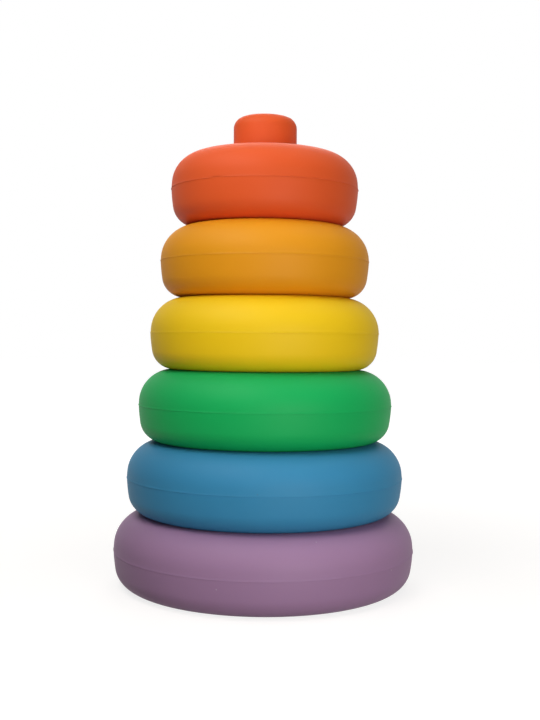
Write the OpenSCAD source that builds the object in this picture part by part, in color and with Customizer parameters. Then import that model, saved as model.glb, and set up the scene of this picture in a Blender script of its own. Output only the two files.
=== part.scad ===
// Silicone stacking ring toy: six hollow rings, each two moulded half shells bonded
// at mid-height, on a solid post that snaps into the base ring.
// Millimetres, +Z up, origin at the centre of the base ring's resting face.

/* [Rings] */
// Outer radius of the base ring
base_r = 60; // [50:0.5:75]
// Outer radius of the blue ring
blue_r = 55; // [46:0.5:70]
// Outer radius of the green ring
green_r = 50.5; // [42:0.5:66]
// Outer radius of the yellow ring
yellow_r = 45.7; // [38:0.1:60]
// Outer radius of the orange ring
orange_r = 41.6; // [36:0.1:54]
// Outer radius of the top ring
red_r = 37.4; // [34:0.1:50]
// Height of each ring
ring_h = 28.7; // [24:0.1:36]
// Wall of every half shell
wall = 3.2; // [2:0.1:4]

/* [Ring outline] */
// Radius of the gently bulged side
side_r = 30; // [22:1:60]
// Height of the side between the bond line and the shoulder's rounding
shoulder_band = 1.1; // [0.5:0.1:6]
// Height of the side between the bond line and the heel's rounding
heel_band = 5.9; // [0.5:0.1:7]
// Rounding where the bore opens on the top and bottom faces
mouth_r = 3; // [1:0.1:4]

/* [Bond line] */
// Width of the locating tongue on each lower shell
tongue_w = 1.2; // [0.8:0.1:1.6]
// Height of the locating tongue
tongue_h = 1.6; // [1:0.1:3]
// Adhesive gap round the tongue
glue_gap = 0.1; // [0.05:0.05:0.2]

/* [Post] */
// Radius of the post
post_r = 12.7; // [9:0.1:15]
// How far the post stands above the top ring
post_over = 14.8; // [8:0.1:30]
// Rounding of the post's tip
tip_r = 4.4; // [2:0.1:8]
// Gap between the post and the bore of each loose ring
ring_clear = 0.9; // [0.4:0.1:2]
// Gap between the post and the base ring's bore
seat_clear = 0.05; // [0.02:0.01:0.1]
// Radius of the foot flange under the base ring
foot_r = 23; // [18:0.5:30]
// Thickness of the foot flange
foot_t = 3.6; // [2.4:0.1:6]
// Gap round the rim of the foot flange, in its recess
foot_clear = 0.4; // [0.2:0.1:1]
// How far the foot flange stays above the resting face
foot_lift = 0.8; // [0.4:0.1:2]
// How far the snap bead stands out of the post
bead_out = 0.9; // [0.4:0.1:1.4]
// Height of the snap bead
bead_h = 3; // [2:0.2:5]

/* [Hidden] */
$fn = 96;
half = ring_h / 2;
shoulder_r = half - shoulder_band;
heel_r = half - heel_band;
bore_r = post_r + ring_clear;
seat_r = post_r + seat_clear;
recess_r = foot_r + foot_clear;
recess_top = foot_lift + foot_t;
RINGS = 6;
post_top = RINGS * ring_h + post_over;
ARC_STEPS = 14;
MOUTH_STEPS = 8;
// How far a cutter runs past a face
PAST = 1;

purple = "#8C6A8B";
blue = "#3A82AE";
green = "#0AA457";
yellow = "#E5BC22";
orange = "#DD9626";
red = "#DB5A30";

// Points along an arc from angle a to angle b
function arc(cx, cy, r, a, b, steps) =
    [for (i = [0:steps]) let (t = a + (b - a) * i / steps) [cx + r * cos(t), cy + r * sin(t)]];

// Angle on the side arc at which it turns into a corner of radius c
function turn(c) = asin((half - c) / (side_r - c));

// Outer edge of a half ring of radius r with corner c, from the bond line to the flat
// face, moved inwards by the distance in
function edge(r, c, in) =
    let (
        side_x = r - side_r,
        a = turn(c),
        corner_x = side_x + (side_r - c) * cos(a),
        corner_y = (side_r - c) * sin(a)
    )
    concat(
        arc(side_x, 0, side_r - in, 0, a, ARC_STEPS),
        arc(corner_x, corner_y, c - in, a, 90, ARC_STEPS)
    );

// Corners of the groove in an upper shell's bond line, or with a depth below zero of the
// tongue that stands out of a lower shell's, in a ring of radius r
function key(r, grow, depth) =
    let (
        mid = r - wall / 2,
        reach = tongue_w / 2 + grow
    )
    [[mid - reach, 0], [mid - reach, depth], [mid + reach, depth], [mid + reach, 0]];

// Section of a half shell: outer edge, flat face, mouth, bore, hollow and key. The hollow's
// inner corner is cut across by a leg no longer than half its flat roof
module shell_section(r, c, b, grow, depth) {
    hollow = edge(r, c, wall);
    last = len(hollow) - 1;
    leg = min(mouth_r, (hollow[last][0] - b - wall) / 2);
    polygon(concat(
        edge(r, c, 0),
        arc(b + mouth_r, half - mouth_r, mouth_r, 90, 180, MOUTH_STEPS),
        [[b, 0], [b + wall, 0]],
        [[b + wall, half - wall - leg], [b + wall + leg, half - wall]],
        [for (i = [last:-1:0]) hollow[i]],
        key(r, grow, depth)
    ));
}

// Half shell above its bond line at z = 0, with the groove for the tongue
module upper_shell(r, b) {
    rotate_extrude()
        shell_section(r, shoulder_r, b, glue_gap, tongue_h + glue_gap);
}

// Half shell below its bond line at z = 0, with the tongue standing up
module lower_shell(r, b) {
    rotate_extrude()
        mirror([0, 1])
            shell_section(r, heel_r, b, 0, -tongue_h);
}

// Section of the snap bead at mid-height of the base ring, grown by the gap g
module bead_section(g) {
    polygon([
        [0, -bead_h / 2 - g],
        [post_r, -bead_h / 2 - g],
        [post_r + bead_out + g, 0],
        [post_r, bead_h / 2 + g],
        [0, bead_h / 2 + g]
    ]);
}

module base_upper() {
    difference() {
        upper_shell(base_r, seat_r);
        rotate_extrude()
            bead_section(seat_clear);
    }
}

// The base's lower shell steps up over the foot flange
module base_lower() {
    difference() {
        union() {
            lower_shell(base_r, seat_r);
            translate([0, 0, -half])
                rotate_extrude()
                    translate([seat_r, 0])
                        square([recess_r + wall - seat_r, recess_top + wall]);
        }
        translate([0, 0, -half - PAST])
            cylinder(r = recess_r, h = recess_top + PAST);
        rotate_extrude()
            bead_section(seat_clear);
    }
}

// Solid post: foot flange, snap bead, straight shank and rounded tip
module post() {
    color(red)
        union() {
            rotate_extrude()
                polygon(concat(
                    [[0, foot_lift], [foot_r, foot_lift], [foot_r, recess_top]],
                    [[post_r, recess_top]],
                    arc(post_r - tip_r, post_top - tip_r, tip_r, 0, 90, ARC_STEPS),
                    [[0, post_top]]
                ));
            translate([0, 0, half])
                rotate_extrude()
                    bead_section(0);
        }
}

// Places ring number n of the stack, counted from 0 at the base
module level(n) {
    translate([0, 0, half + n * ring_h])
        children();
}

level(0) color(purple) base_lower();  // base_ring_lower_shell
level(0) color(purple) base_upper();  // base_ring_upper_shell
level(1) color(blue) lower_shell(blue_r, bore_r);  // blue_ring_lower_shell
level(1) color(blue) upper_shell(blue_r, bore_r);  // blue_ring_upper_shell
level(2) color(green) lower_shell(green_r, bore_r);  // green_ring_lower_shell
level(2) color(green) upper_shell(green_r, bore_r);  // green_ring_upper_shell
level(3) color(yellow) lower_shell(yellow_r, bore_r);  // yellow_ring_lower_shell
level(3) color(yellow) upper_shell(yellow_r, bore_r);  // yellow_ring_upper_shell
level(4) color(orange) lower_shell(orange_r, bore_r);  // orange_ring_lower_shell
level(4) color(orange) upper_shell(orange_r, bore_r);  // orange_ring_upper_shell
level(5) color(red) lower_shell(red_r, bore_r);  // red_ring_lower_shell
level(5) color(red) upper_shell(red_r, bore_r);  // red_ring_upper_shell
post();
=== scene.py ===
import math

import bpy
from bpy.props import FloatProperty, FloatVectorProperty, PointerProperty, StringProperty
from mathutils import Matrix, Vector, noise


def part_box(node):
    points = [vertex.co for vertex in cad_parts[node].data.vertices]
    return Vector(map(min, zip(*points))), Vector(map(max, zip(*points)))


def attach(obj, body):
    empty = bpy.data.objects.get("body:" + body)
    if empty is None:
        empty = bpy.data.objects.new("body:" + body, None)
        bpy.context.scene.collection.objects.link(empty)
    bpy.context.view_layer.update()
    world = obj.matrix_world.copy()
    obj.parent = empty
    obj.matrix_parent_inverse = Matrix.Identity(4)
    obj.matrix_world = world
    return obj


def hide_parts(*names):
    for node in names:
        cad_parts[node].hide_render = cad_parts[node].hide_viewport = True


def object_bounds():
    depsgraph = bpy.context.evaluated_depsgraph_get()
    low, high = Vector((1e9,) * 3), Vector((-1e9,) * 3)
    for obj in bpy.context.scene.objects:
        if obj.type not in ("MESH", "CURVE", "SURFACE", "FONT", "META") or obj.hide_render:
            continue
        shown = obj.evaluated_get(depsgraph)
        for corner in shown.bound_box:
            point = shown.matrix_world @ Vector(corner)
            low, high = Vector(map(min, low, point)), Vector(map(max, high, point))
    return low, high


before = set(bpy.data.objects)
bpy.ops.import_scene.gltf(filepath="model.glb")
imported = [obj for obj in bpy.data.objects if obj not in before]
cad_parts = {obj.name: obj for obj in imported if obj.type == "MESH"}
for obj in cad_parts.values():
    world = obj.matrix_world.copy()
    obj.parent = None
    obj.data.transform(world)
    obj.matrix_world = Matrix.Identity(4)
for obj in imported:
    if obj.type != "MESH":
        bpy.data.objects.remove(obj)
CAD_BOX = [list(corner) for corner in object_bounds()]

bl_info = {
    "name": "Stacking Ring Toy",
    "version": (1, 0, 0),
    "blender": (4, 5, 0),
    "location": "View3D > Sidebar > Ring Toy",
    "description": "Builds a silicone ring stacker: bonded half shells on a post, and its studio",
    "category": "Object",
}

MM = 0.001
PER_MM = 1 / MM
TURN = 2 * math.pi
FRONT = -math.pi / 2
RINGS = ("base", "blue", "green", "yellow", "orange", "red")
# How far each ring sits to the right of the post's axis, in mm. A loose ring has 0.9 mm of play
SITS_OFF = {"base": 0.1, "blue": 0.35, "green": 0.35, "yellow": 0.0, "orange": -0.2, "red": -0.45}
# How much fuller than its nominal radius each ring came out of its mould, in mm
FULLER = {"base": 0.0, "blue": 0.2, "green": 0.2, "yellow": 0.12, "orange": 0.2, "red": 0.05}
# Height of the side between the bond line and the shoulder's rounding, in mm
SHOULDER_BAND = {"base": 1.6, "blue": 1.2, "green": 0.8, "yellow": 0.6, "orange": 0.5, "red": 1.9}
# Heights over the bond line that carry the lip's curve, in mm
LIP_STEPS = (0.12, 0.3, 0.5)
# Where the red ring's lip was trimmed away, in degrees: place right of the front, half width, fade
TRIM_PLACE, TRIM_REACH, TRIM_FADE = -28, 3, 3
# Radius, in noise cells, of the circle that the lip's noise is read round
LIP_CIRCLE = 9
# Noise is zero at whole numbers, so each ring's seed is its number and this
SEED_SHIFT = 0.37
# Height over which the misfit of two halves fades, in mm, and the share of it that stays
DRIFT_FADE, DRIFT_LEFT = 8, 0.3
# The post's two mould lines, in degrees right of the front, and the half width of each
MOULD_LINES, MOULD_LINE_WIDTH = (67.5, 247.5), 0.6
# Finer azimuths at a mould line, in degrees to either side of it
LINE_STEPS = (-1.5, -0.9, -0.5, -0.25, 0, 0.25, 0.5, 0.9, 1.5)

# Steps of the meshes: round a ring, and along each curve of a section
SEGMENTS = 224
SIDE_STEPS, SHOULDER_STEPS, MOUTH_STEPS, FLAT_STEPS, BORE_STEPS = 12, 26, 10, 4, 3
FOOT_STEPS, SHANK_STEPS, TIP_STEPS = 4, 12, 16
SHARP_EDGE = math.radians(38)

# Sizes of the silicone's patterns, in mm
CLOUD_SIZE, LINT_CELL, GRAIN_SIZE, GRAIN_DEPTH = 40, 7, 0.5, 0.05
# A lint speck's full and faded radius, as shares of its cell, and how strongly it tints the skin
SPECK_CORE, SPECK_EDGE, SPECK_TINT = 0.03, 0.05, 0.35
# Cells whose random value is over this have a speck
SPECK_CELLS_OVER = 0.72
# Roughness of the matt skin, between its smoothest and roughest grain
SKIN_ROUGHNESS = (0.5, 0.66)

# Floor: colour, and how far camera and glossy rays see it lifted, near the toy and away from it
PAPER = "#96918C"
LIFT_NEAR, LIFT_AWAY = 0.8, 1.0
# Distances from the toy's axis between which the lift changes, in m
LIFT_FROM, LIFT_TO = 0.1, 0.45
# Strength of the world's even light
AMBIENT = 0.03


# ---------------------------------------------------------------- settings

class RingShape(bpy.types.PropertyGroup):
    """Outline of every ring, as one half shell above or below its bond line."""
    side_radius: FloatProperty(
        name="Side bulge", description="Radius of the gently bulged side",
        default=60 * MM, min=20 * MM, unit="LENGTH")
    bond_tilt: FloatProperty(
        name="Bond line tilt",
        description="How far each half leans back from upright at the bond line",
        default=math.radians(2.4), unit="ROTATION")
    heel_band: FloatProperty(
        name="Band over heel", description="Height of the side between the bond line and the heel",
        default=5.9 * MM, unit="LENGTH")
    mouth_radius: FloatProperty(
        name="Mouth rounding", description="Rounding where the bore opens on a flat face",
        default=3 * MM, unit="LENGTH")
    wall: FloatProperty(
        name="Wall", description="Wall of every half shell",
        default=3.2 * MM, unit="LENGTH")
    loose_bore: FloatProperty(
        name="Loose bore", description="Radius of the bore in the five loose rings",
        default=13.6 * MM, unit="LENGTH")
    seat_bore: FloatProperty(
        name="Seat bore", description="Radius of the bore in the base ring, which grips the post",
        default=12.75 * MM, unit="LENGTH")
    tongue_width: FloatProperty(
        name="Tongue width", description="Width of the locating tongue on each lower half",
        default=1.2 * MM, unit="LENGTH")
    tongue_height: FloatProperty(
        name="Tongue height", description="Height of the locating tongue",
        default=1.6 * MM, unit="LENGTH")
    glue_gap: FloatProperty(
        name="Adhesive gap", description="Gap round the tongue in its groove",
        default=0.1 * MM, unit="LENGTH")


class FlashShape(bpy.types.PropertyGroup):
    """The fine lip of rubber that the moulds leave, and how it was trimmed."""
    lip: FloatProperty(
        name="Lip", description="How far the upper half's lip stands out over the lower half",
        default=0.15 * MM, unit="LENGTH")
    lip_height: FloatProperty(
        name="Lip height", description="Height over which the lip fades into the side",
        default=0.8 * MM, unit="LENGTH")
    unevenness: FloatProperty(
        name="Unevenness", description="How much the lip varies round the ring, as a share of it",
        default=0.6, subtype="FACTOR")
    drift: FloatProperty(
        name="Drift", description="How far the two halves of a ring lie out of line",
        default=0.07 * MM, unit="LENGTH")
    mould_line: FloatProperty(
        name="Mould line", description="Height of the fine line that the mould left along the post",
        default=0.12 * MM, unit="LENGTH")


class PostShape(bpy.types.PropertyGroup):
    """The solid post, from its foot flange to its rounded tip."""
    radius: FloatProperty(
        name="Post radius", description="Radius of the shank", default=12.7 * MM, unit="LENGTH")
    tip_radius: FloatProperty(
        name="Tip rounding", description="Rounding of the tip", default=4.4 * MM, unit="LENGTH")
    lean: FloatProperty(
        name="Lean", description="How far the soft post's tip leans to the right",
        default=-0.4 * MM, unit="LENGTH")
    foot_thickness: FloatProperty(
        name="Foot thickness", description="Thickness of the foot flange",
        default=3.6 * MM, unit="LENGTH")
    foot_edge: FloatProperty(
        name="Foot edge", description="Rounding of the foot flange's rim",
        default=1 * MM, unit="LENGTH")
    bead: FloatProperty(
        name="Snap bead", description="How far the snap bead stands out of the shank",
        default=0.9 * MM, unit="LENGTH")
    bead_height: FloatProperty(
        name="Bead height", description="Height of the snap bead", default=3 * MM, unit="LENGTH")


class SiliconeColours(bpy.types.PropertyGroup):
    """Pigment of each silicone, as sRGB hex."""
    base: StringProperty(
        name="Base ring", description="Pigment of the base ring", default="#9A7798")
    blue: StringProperty(
        name="Blue ring", description="Pigment of the blue ring", default="#3382AA")
    green: StringProperty(
        name="Green ring", description="Pigment of the green ring", default="#02A552")
    yellow: StringProperty(
        name="Yellow ring", description="Pigment of the yellow ring", default="#EDC30C")
    orange: StringProperty(
        name="Orange ring", description="Pigment of the orange ring", default="#DE920B")
    red: StringProperty(
        name="Red ring and post", description="Pigment of the red silicone", default="#DC5520")


class StudioSettings(bpy.types.PropertyGroup):
    """Camera, floor and light."""
    camera_place: FloatVectorProperty(
        name="Camera place", description="Camera position",
        default=(2.2 * MM, -397 * MM, 98 * MM), subtype="XYZ", unit="LENGTH")
    camera_dip: FloatProperty(
        name="Camera dip", description="How far the camera looks down",
        default=math.radians(1.18), unit="ROTATION")
    camera_roll: FloatProperty(
        name="Camera roll", description="How far the camera is rolled",
        default=math.radians(0.48), unit="ROTATION")
    lens: FloatProperty(
        name="Lens", description="Focal length on a 36 mm sensor", default=49.1, unit="CAMERA")
    floor_size: FloatProperty(
        name="Floor size", description="Side of the square floor", default=8, unit="LENGTH")


# ---------------------------------------------------------------- materials

def linear(hex_colour):
    """sRGB hex to the linear RGBA that Blender's sockets take."""
    digits = hex_colour.lstrip("#")
    channels = [int(digits[i:i + 2], 16) / 255 for i in (0, 2, 4)]
    return [c / 12.92 if c <= 0.04045 else ((c + 0.055) / 1.055) ** 2.4 for c in channels] + [1.0]


def add_node(tree, kind, links=None, **settings):
    """Adds a node. A setting is one of its properties, or else an input socket, with _ for each
    space in its name. Links maps an input's name or index to the output that feeds it."""
    node = tree.nodes.new(kind)
    for name, value in settings.items():
        socket = name.replace("_", " ")
        if hasattr(node, name):
            setattr(node, name, value)
        else:
            node.inputs[socket].default_value = value
    for key, output in (links or {}).items():
        tree.links.new(output, node.inputs[key])
    return node


def new_material(name):
    """An empty node material and its tree."""
    material = bpy.data.materials.new(name)
    material.use_nodes = True
    material.node_tree.nodes.clear()
    return material, material.node_tree


def silicone(colour_name, pigment):
    """Moulded liquid silicone rubber: opaque pigment, a spark-eroded matt skin that spreads
    every highlight into a soft bloom, and a little lint that the tacky skin picks up."""
    name = colour_name + "_moulded_silicone"
    if name in bpy.data.materials:
        return bpy.data.materials[name]
    material, tree = new_material(name)
    colour = linear(pigment)
    place = add_node(tree, "ShaderNodeTexCoord").outputs["Object"]
    # Pigment streaks, barely visible
    cloud = add_node(tree, "ShaderNodeTexNoise", {"Vector": place},
                     Scale=PER_MM / CLOUD_SIZE, Detail=2.0)
    paler = [min(1.0, c * 1.05 + 0.004) for c in colour[:3]] + [1.0]
    deeper = [c * 0.95 for c in colour[:3]] + [1.0]
    clouded = add_node(tree, "ShaderNodeMix", {"Factor": cloud.outputs["Fac"]},
                       data_type="RGBA", A=deeper, B=paler)
    skin = add_lint(tree, place, clouded.outputs["Result"], colour)
    # The matt skin's grain is about 0.1 mm on the real moulding and drawn coarser, so that it shows
    grain = add_node(tree, "ShaderNodeTexNoise", {"Vector": place},
                     Scale=PER_MM / GRAIN_SIZE, Detail=3.0)
    rough = add_node(tree, "ShaderNodeMapRange", {"Value": grain.outputs["Fac"]},
                     To_Min=SKIN_ROUGHNESS[0], To_Max=SKIN_ROUGHNESS[1])
    bump = add_node(tree, "ShaderNodeBump", {"Height": grain.outputs["Fac"]},
                    Strength=0.1, Distance=GRAIN_DEPTH * MM)
    shader = add_node(tree, "ShaderNodeBsdfPrincipled",
                      {"Base Color": skin, "Roughness": rough.outputs["Result"],
                       "Normal": bump.outputs["Normal"]},
                      IOR=1.41, Specular_IOR_Level=0.3, Subsurface_Weight=0.12,
                      Subsurface_Radius=(1.0, 0.7, 0.5), Subsurface_Scale=1.2 * MM)
    add_node(tree, "ShaderNodeOutputMaterial", {"Surface": shader.outputs[0]})
    return material


def add_lint(tree, place, skin_colour, pigment):
    """Lint specks under half a millimetre on the skin's colour: at most one in each cell, and few
    cells have one. Each is darker or paler than the pigment by its cell's random colour."""
    cells = add_node(tree, "ShaderNodeTexVoronoi", {"Vector": place}, Scale=PER_MM / LINT_CELL)
    speck = add_node(tree, "ShaderNodeMapRange", {"Value": cells.outputs["Distance"]},
                     From_Min=SPECK_CORE, From_Max=SPECK_EDGE, To_Min=1.0, To_Max=0.0)
    shade = add_node(tree, "ShaderNodeSeparateColor", {"Color": cells.outputs["Color"]})
    chosen = add_node(tree, "ShaderNodeMath", {0: shade.outputs["Red"]}, operation="GREATER_THAN")
    chosen.inputs[1].default_value = SPECK_CELLS_OVER
    lint = add_node(tree, "ShaderNodeMath", {0: speck.outputs["Result"], 1: chosen.outputs[0]},
                    operation="MULTIPLY")
    tint = add_node(tree, "ShaderNodeMath", {0: lint.outputs[0]}, operation="MULTIPLY")
    tint.inputs[1].default_value = SPECK_TINT
    dark = [c * 0.35 for c in pigment[:3]] + [1.0]
    pale = [0.5 + 0.5 * c for c in pigment[:3]] + [1.0]
    lint_colour = add_node(tree, "ShaderNodeMix", {"Factor": shade.outputs["Green"]},
                           data_type="RGBA", A=dark, B=pale)
    mix = add_node(tree, "ShaderNodeMix",
                   {"Factor": tint.outputs[0], "A": skin_colour, "B": lint_colour.outputs["Result"]},
                   data_type="RGBA")
    return mix.outputs["Result"]


# ---------------------------------------------------------------- meshes

def arc(centre, radius, start, end, steps):
    """Points along an arc, ends included."""
    return [(centre[0] + radius * math.cos(start + (end - start) * i / steps),
             centre[1] + radius * math.sin(start + (end - start) * i / steps))
            for i in range(steps + 1)]


def straight(start, end, steps):
    """Points from start towards end, without end."""
    return [(start[0] + (end[0] - start[0]) * i / steps,
             start[1] + (end[1] - start[1]) * i / steps)
            for i in range(steps)]


def lathe(name, section, azimuths, swell):
    """Turns a closed or pole-to-pole section into a mesh. A section point is (radius, height);
    swell(radius, height, azimuth) gives how far the skin stands out there."""
    poles = [abs(point[0]) < 1e-9 for point in section]
    vertices, rows = [], []
    for (radius, height), pole in zip(section, poles):
        if pole:
            rows.append([len(vertices)] * len(azimuths))
            vertices.append((0, 0, height))
            continue
        rows.append(list(range(len(vertices), len(vertices) + len(azimuths))))
        for azimuth in azimuths:
            reach = radius + swell(radius, height, azimuth)
            vertices.append((reach * math.cos(azimuth), reach * math.sin(azimuth), height))
    faces = []
    closed = not any(poles)
    around = len(azimuths)
    for i in range(len(section) if closed else len(section) - 1):
        low, high = rows[i], rows[(i + 1) % len(section)]
        for j in range(around):
            corners = [low[j], low[(j + 1) % around], high[(j + 1) % around], high[j]]
            face = list(dict.fromkeys(corners))
            if len(face) > 2:
                faces.append(face)
    mesh = bpy.data.meshes.new(name)
    mesh.from_pydata(vertices, [], faces)
    mesh.validate()
    mesh.shade_smooth()
    mesh.set_sharp_from_angle(angle=SHARP_EDGE)
    return mesh


def even_azimuths(extra=()):
    """Azimuths all round, with finer ones at each place in extra."""
    azimuths = {round(TURN * i / SEGMENTS, 6) for i in range(SEGMENTS)}
    for middle in extra:
        for step in LINE_STEPS:
            azimuths.add(round((middle + math.radians(step)) % TURN, 6))
    return sorted(azimuths)


def new_piece(name, mesh, material, body, node):
    """Links a finished piece, which stands for a CAD node and rides on its body."""
    piece = bpy.data.objects.new(name, mesh)
    bpy.context.scene.collection.objects.link(piece)
    mesh.materials.append(material)
    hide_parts(node)
    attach(piece, body)
    return piece


def half_outline(shape, radius, half, band):
    """Outer skin of a half shell from its bond line to its flat face: the bulged side, then the
    rounding that starts where the band ends."""
    tilt = shape.bond_tilt
    side = shape.side_radius
    corner = half - band
    centre = (radius - side * math.cos(tilt), -side * math.sin(tilt))
    turn = math.asin((band - centre[1]) / (side - corner))
    corner_centre = (centre[0] + (side - corner) * math.cos(turn), half - corner)
    bulge = arc(centre, side, tilt, turn, SIDE_STEPS)
    return bulge[:-1] + arc(corner_centre, corner, turn, math.pi / 2, SHOULDER_STEPS)


def half_hollow(shape, radius, half, band, bore):
    """Inner skin of a half shell from the bore's wall to the bond line's inner edge."""
    inner = half_outline(shape, radius, half, band)
    wall = shape.wall
    skin = []
    for i, (r, z) in enumerate(inner[::2]):
        before = inner[max(0, 2 * i - 1)]
        after = inner[min(len(inner) - 1, 2 * i + 1)]
        slope = Vector((after[0] - before[0], after[1] - before[1])).normalized()
        skin.append((r - wall * slope.y, z + wall * slope.x))
    skin[0] = (radius - wall, 0)
    roof = half - wall
    nook = min(shape.mouth_radius, (skin[-1][0] - bore - wall) / 2)
    return [(bore + wall, 0), (bore + wall, roof - nook), (bore + wall + nook, roof)] + skin[::-1]


def half_section(shape, radius, half, band, bore, upper):
    """Closed section of a half shell, with its bond line at height 0 and its flat face above.
    The tongue of a lower half hangs below 0, and the groove of an upper half is cut above it.
    Every bore is plain: the base ring's has no recess for the post's foot and no groove for its
    bead, so the post overlaps the base ring's halves there."""
    outer = half_outline(shape, radius, half, band)
    lip = [(radius, 0)] + [outer_at(outer, height * MM) for height in LIP_STEPS]
    mouth = arc((bore + shape.mouth_radius, half - shape.mouth_radius), shape.mouth_radius,
                math.pi / 2, math.pi, MOUTH_STEPS)
    flat = straight(outer[-1], mouth[0], FLAT_STEPS)[1:]
    bore_wall = straight(mouth[-1], (bore, 0), BORE_STEPS)[1:] + [(bore, 0)]
    middle = radius - shape.wall / 2
    gap = shape.glue_gap if upper else 0
    reach = shape.tongue_width / 2 + gap
    depth = shape.tongue_height + gap if upper else -shape.tongue_height
    near, far = middle - reach, middle + reach
    key = [(near, 0), (near, depth), (far, depth), (far, 0)]
    skin = lip + outer[1:] + flat + mouth + bore_wall
    return skin + half_hollow(shape, radius, half, band, bore) + key


def outer_at(outer, height):
    """Point of an outline at a height, between its own points."""
    for (r0, z0), (r1, z1) in zip(outer, outer[1:]):
        if z0 <= height <= z1:
            share = (height - z0) / (z1 - z0)
            return (r0 + share * (r1 - r0), height)
    return outer[-1]


def uneven(azimuth, seed, circle):
    """Smooth noise round a ring, -1 to 1, the same each run. It is read round a circle whose
    radius is given in noise cells."""
    return noise.noise(Vector((circle * math.cos(azimuth), circle * math.sin(azimuth), seed)))


def flash_swell(shape, flash, radius, seed, upper, trimmed):
    """Gives the function that raises a half shell's lip and shifts its skin. A trimmed ring has
    lost its lip over a few degrees."""
    # The two halves of a ring drift in ways of their own
    lean = noise.noise(Vector((seed, 2.5, 0.5 if upper else 4.5))) * math.pi
    trim_place = FRONT + math.radians(TRIM_PLACE)

    def swell(r, z, azimuth):
        by_bond = abs(z) < flash.lip_height
        if by_bond and r < radius - shape.wall / 3:
            return 0
        drift = 0
        # The drift shifts the side and its rounding, and leaves the bore alone
        if r >= radius - 4 * shape.wall:
            near = max(0, 1 - abs(z) / (DRIFT_FADE * MM))
            drift = flash.drift * math.cos(azimuth - lean) * (DRIFT_LEFT + (1 - DRIFT_LEFT) * near)
        lip = 0
        if upper and by_bond:
            fade = (1 - abs(z) / flash.lip_height) ** 2
            lip = flash.lip * (1 + flash.unevenness * uneven(azimuth, seed, LIP_CIRCLE)) * fade
            if trimmed:
                off = math.degrees(abs((azimuth - trim_place + math.pi) % TURN - math.pi))
                lip *= min(1, max(0, (off - TRIM_REACH) / TRIM_FADE))
        return drift + lip

    return swell


# ---------------------------------------------------------------- operators

class RINGTOY_OT_camera(bpy.types.Operator):
    """Makes the camera and looks through it"""
    bl_idname = "ringtoy.camera"
    bl_label = "Camera"

    def execute(self, context):
        studio = context.scene.ringtoy_studio
        data = bpy.data.cameras.new("camera")
        data.lens = studio.lens
        camera = bpy.data.objects.new("camera", data)
        camera.location = studio.camera_place
        camera.rotation_euler = (math.pi / 2 - studio.camera_dip, -studio.camera_roll, 0)
        context.scene.collection.objects.link(camera)
        context.scene.camera = camera
        return {"FINISHED"}


class RINGTOY_OT_rings(bpy.types.Operator):
    """Moulds the upper and lower half of every ring"""
    bl_idname = "ringtoy.rings"
    bl_label = "Rings"

    def execute(self, context):
        scene = context.scene
        shape, flash, colours = scene.ringtoy_ring, scene.ringtoy_flash, scene.ringtoy_colours
        azimuths = even_azimuths()
        for number, ring in enumerate(RINGS):
            colour_name = "purple" if ring == "base" else ring
            material = silicone(colour_name, getattr(colours, ring))
            low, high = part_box(ring + "_ring_upper_shell")
            half = high[2] - low[2]
            bond = low[2]
            radius = round((high[0] - low[0]) / 2, 4) + FULLER[ring] * MM
            bore = shape.seat_bore if ring == "base" else shape.loose_bore
            body = "base" if ring == "base" else ring + "_ring"
            for name, upper in (("upper", True), ("lower", False)):
                band = SHOULDER_BAND[ring] * MM if upper else shape.heel_band
                section = half_section(shape, radius, half, band, bore, upper)
                seed = number + SEED_SHIFT
                swell = flash_swell(shape, flash, radius, seed, upper, ring == "red")
                mesh = lathe(ring + "_ring_" + name + "_half", section, azimuths, swell)
                place_half(mesh, bond, upper, SITS_OFF[ring] * MM)
                node = ring + "_ring_" + name + "_shell"
                new_piece(mesh.name, mesh, material, body, node)
        return {"FINISHED"}


def place_half(mesh, bond, upper, right):
    """Puts a half shell at its bond line, turned over if it is a lower half."""
    for vertex in mesh.vertices:
        height = vertex.co.z if upper else -vertex.co.z
        vertex.co.z = bond + height
        vertex.co.x += right
    if not upper:
        mesh.flip_normals()
    mesh.update()


class RINGTOY_OT_post(bpy.types.Operator):
    """Moulds the post with its foot, snap bead and fine mould lines"""
    bl_idname = "ringtoy.post"
    bl_label = "Post"

    def execute(self, context):
        scene = context.scene
        post, flash = scene.ringtoy_post, scene.ringtoy_flash
        low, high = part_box("post")
        foot_radius = round((high[0] - low[0]) / 2, 4)
        foot_top = low[2] + post.foot_thickness
        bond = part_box("base_ring_upper_shell")[0][2]
        edge = post.foot_edge
        radius, tip = post.radius, post.tip_radius
        bead = post.bead_height / 2
        section = [(0, low[2]), (foot_radius / 2, low[2])]
        section += arc((foot_radius - edge, low[2] + edge), edge, -math.pi / 2, 0, FOOT_STEPS)
        section += arc((foot_radius - edge, foot_top - edge), edge, 0, math.pi / 2, FOOT_STEPS)
        section += [(radius + edge, foot_top), (radius, foot_top + edge)]
        section += [(radius, bond - bead), (radius + post.bead, bond), (radius, bond + bead)]
        section += straight((radius, bond + 2 * bead), (radius, high[2] - tip), SHANK_STEPS)
        section += arc((radius - tip, high[2] - tip), tip, 0, math.pi / 2, TIP_STEPS)
        section += [((radius - tip) / 2, high[2]), (0, high[2])]
        lines = [FRONT + math.radians(place) for place in MOULD_LINES]

        def swell(r, z, azimuth):
            if r < radius - tip or z < bond:
                return 0
            off = min(abs((azimuth - line + math.pi) % TURN - math.pi) for line in lines)
            return flash.mould_line * max(0, 1 - off / math.radians(MOULD_LINE_WIDTH))

        mesh = lathe("post_moulding", section, even_azimuths(lines), swell)
        for vertex in mesh.vertices:
            vertex.co.x += post.lean * vertex.co.z / high[2]
        material = silicone("red", scene.ringtoy_colours.red)
        new_piece("post_moulding", mesh, material, "base", "post")
        return {"FINISHED"}


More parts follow.
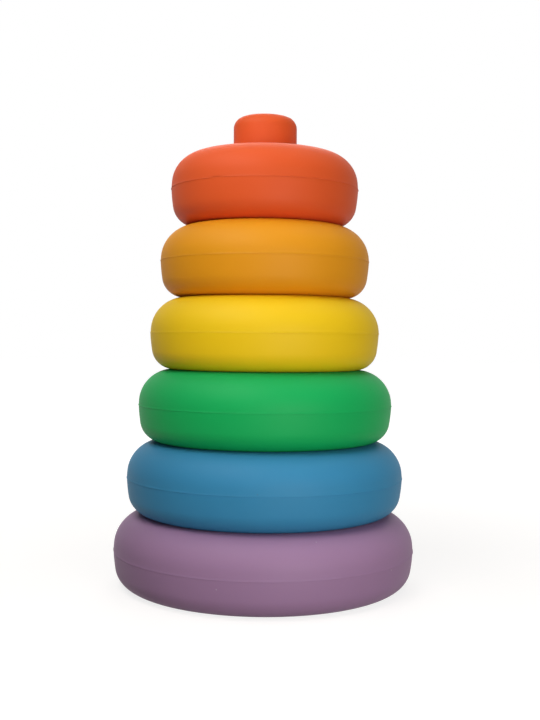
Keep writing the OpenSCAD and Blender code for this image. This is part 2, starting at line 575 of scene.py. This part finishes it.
# White disc lamps, each aimed at the toy's middle.
# name: (degrees right of the front, degrees up, distance in m, diameter in m, watts)
LAMPS = {
    "left_high": (-60, 55, 0.35, 0.2, 0.3),
    "left_front": (-24, 45, 0.37, 0.2, 0.53),
    "front_low": (20, -2, 0.37, 0.2, 0.7),
    "right_window": (80, 68, 1.0, 0.6, 1.8),
    "back_fill": (180, 45, 1.0, 0.6, 2.5),
}


class RINGTOY_OT_stage(bpy.types.Operator):
    """Lays the floor and sets the lamps and the world"""
    bl_idname = "ringtoy.stage"
    bl_label = "Studio"

    def execute(self, context):
        scene = context.scene
        scene.view_settings.view_transform = "Standard"
        reach = scene.ringtoy_studio.floor_size / 2
        mesh = bpy.data.meshes.new("floor")
        corners = [(-reach, -reach, 0), (reach, -reach, 0), (reach, reach, 0), (-reach, reach, 0)]
        mesh.from_pydata(corners, [], [(0, 1, 2, 3)])
        floor = bpy.data.objects.new("floor", mesh)
        scene.collection.objects.link(floor)
        mesh.materials.append(floor_paper())
        middle = Vector((0, 0, CAD_BOX[1][2] / 2))
        for name, (azimuth, elevation, distance, diameter, watts) in LAMPS.items():
            data = bpy.data.lights.new(name, "AREA")
            data.shape = "DISK"
            data.size = diameter
            data.energy = watts
            lamp = bpy.data.objects.new(name, data)
            turn, rise = math.radians(azimuth) + FRONT, math.radians(elevation)
            level = math.cos(rise)
            way = Vector((math.cos(turn) * level, math.sin(turn) * level, math.sin(rise)))
            lamp.location = middle + way * distance
            lamp.rotation_euler = way.to_track_quat("Z", "Y").to_euler()
            scene.collection.objects.link(lamp)
        scene.world = studio_world()
        return {"FINISHED"}


def seen_directly(tree):
    """Gives 1 for a ray from the camera or from a glossy surface, and 0 for any other."""
    ray = add_node(tree, "ShaderNodeLightPath")
    either = add_node(tree, "ShaderNodeMath",
                      {0: ray.outputs["Is Camera Ray"], 1: ray.outputs["Is Glossy Ray"]},
                      operation="MAXIMUM")
    return either.outputs[0]


def floor_paper():
    """Matt studio paper, which keeps the shadow. Camera and glossy rays see it lifted to white."""
    material, tree = new_material("studio_paper")
    # Close to the toy the paper is lifted less, so that its shadow shows
    place = add_node(tree, "ShaderNodeTexCoord").outputs["Object"]
    away = add_node(tree, "ShaderNodeVectorMath", {0: place}, operation="LENGTH")
    level = add_node(tree, "ShaderNodeMapRange", {"Value": away.outputs["Value"]},
                     From_Min=LIFT_FROM, From_Max=LIFT_TO, To_Min=LIFT_NEAR, To_Max=LIFT_AWAY)
    lift = add_node(tree, "ShaderNodeMath", {0: seen_directly(tree), 1: level.outputs["Result"]},
                    operation="MULTIPLY")
    matt = add_node(tree, "ShaderNodeBsdfDiffuse", Color=linear(PAPER))
    glow = add_node(tree, "ShaderNodeEmission", {"Strength": lift.outputs[0]})
    both = add_node(tree, "ShaderNodeAddShader", {0: matt.outputs[0], 1: glow.outputs[0]})
    add_node(tree, "ShaderNodeOutputMaterial", {"Surface": both.outputs[0]})
    return material


def studio_world():
    """Weak even light, which camera and glossy rays see as white."""
    world = bpy.data.worlds.new("studio_world")
    world.use_nodes = True
    tree = world.node_tree
    tree.nodes.clear()
    white = linear("#FFFFFF")
    ambient = add_node(tree, "ShaderNodeBackground", Color=white, Strength=AMBIENT)
    backdrop = add_node(tree, "ShaderNodeBackground", Color=white, Strength=1.0)
    mix = add_node(tree, "ShaderNodeMixShader",
                   {0: seen_directly(tree), 1: ambient.outputs[0], 2: backdrop.outputs[0]})
    add_node(tree, "ShaderNodeOutputWorld", {"Surface": mix.outputs[0]})
    return world


class RINGTOY_PT_panel(bpy.types.Panel):
    """Lists the toy's steps and sizes"""
    bl_idname = "RINGTOY_PT_panel"
    bl_label = "Stacking Ring Toy"
    bl_space_type = "VIEW_3D"
    bl_region_type = "UI"
    bl_category = "Ring Toy"

    def draw(self, context):
        layout = self.layout
        for operator in OPERATORS:
            layout.operator(operator.bl_idname)
        for holder in GROUPS:
            box = layout.box()
            settings = getattr(context.scene, holder)
            for name in settings.bl_rna.properties.keys():
                if name not in {"rna_type", "name"}:
                    box.prop(settings, name)


GROUPS = {
    "ringtoy_ring": RingShape,
    "ringtoy_flash": FlashShape,
    "ringtoy_post": PostShape,
    "ringtoy_colours": SiliconeColours,
    "ringtoy_studio": StudioSettings,
}
OPERATORS = (RINGTOY_OT_camera, RINGTOY_OT_rings, RINGTOY_OT_post, RINGTOY_OT_stage)


def register():
    for group in GROUPS.values():
        bpy.utils.register_class(group)
    for operator in OPERATORS:
        bpy.utils.register_class(operator)
    bpy.utils.register_class(RINGTOY_PT_panel)
    for name, group in GROUPS.items():
        setattr(bpy.types.Scene, name, PointerProperty(type=group))


def unregister():
    for name in GROUPS:
        delattr(bpy.types.Scene, name)
    bpy.utils.unregister_class(RINGTOY_PT_panel)
    for operator in reversed(OPERATORS):
        bpy.utils.unregister_class(operator)
    for group in reversed(list(GROUPS.values())):
        bpy.utils.unregister_class(group)


def main():
    register()
    bpy.ops.ringtoy.camera()
    bpy.ops.ringtoy.rings()
    bpy.ops.ringtoy.post()
    bpy.ops.ringtoy.stage()


if __name__ == "__main__":
    main()
